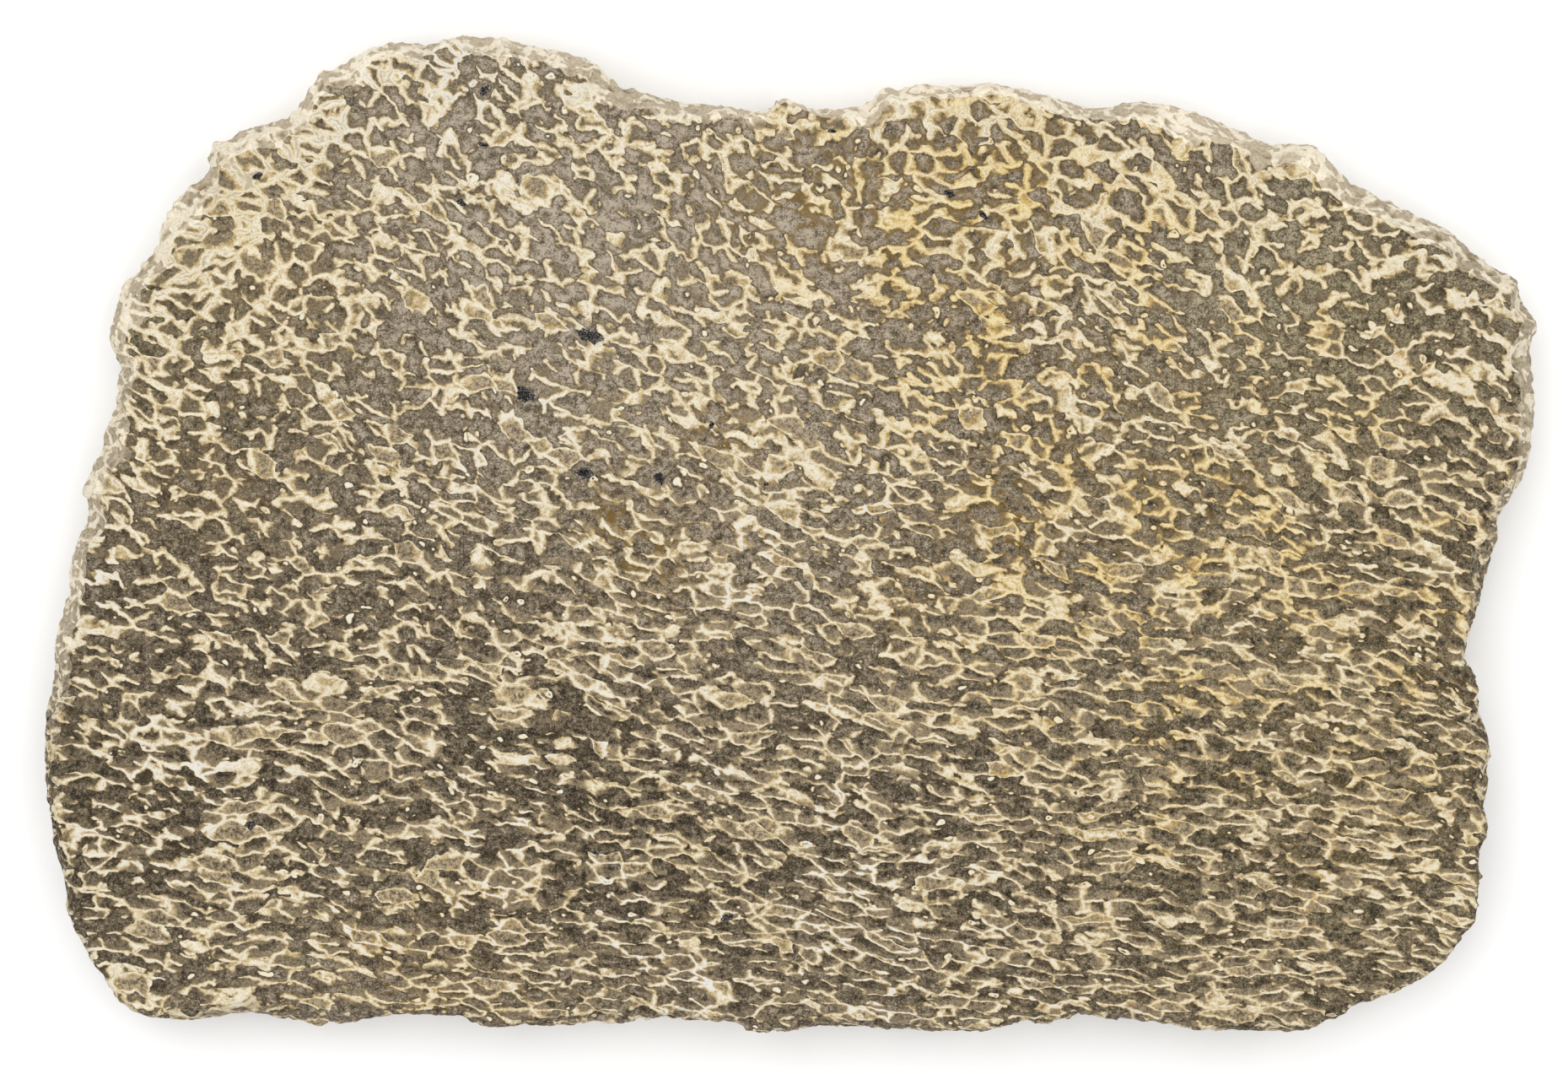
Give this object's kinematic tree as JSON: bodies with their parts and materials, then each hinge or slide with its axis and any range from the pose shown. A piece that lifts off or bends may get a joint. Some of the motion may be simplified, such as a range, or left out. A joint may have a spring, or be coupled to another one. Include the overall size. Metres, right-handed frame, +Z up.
{
  "type": "fossil dinosaur bone slab",
  "caption": "Flat sawn slice of fossilised spongy bone with two parallel cut faces and a broken, pitted natural rim.",
  "frame": {"origin": "middle of the slab's box, on the base cut that it lies on", "axes": "+X along the slab's length, +Y towards the crested edge, +Z up out of the upper cut; the slab lies flat"},
  "size_m": [0.124, 0.083, 0.008],
  "materials": {
    "fossil_bone": "fine saw cut with a soft gloss: cream spongy bone filled with grey-brown translucent stone, and a dull, weathered rim"
  },
  "bodies": {
    "root": {"bone_slab": "fossil_bone"}
  },
  "joints": []
}
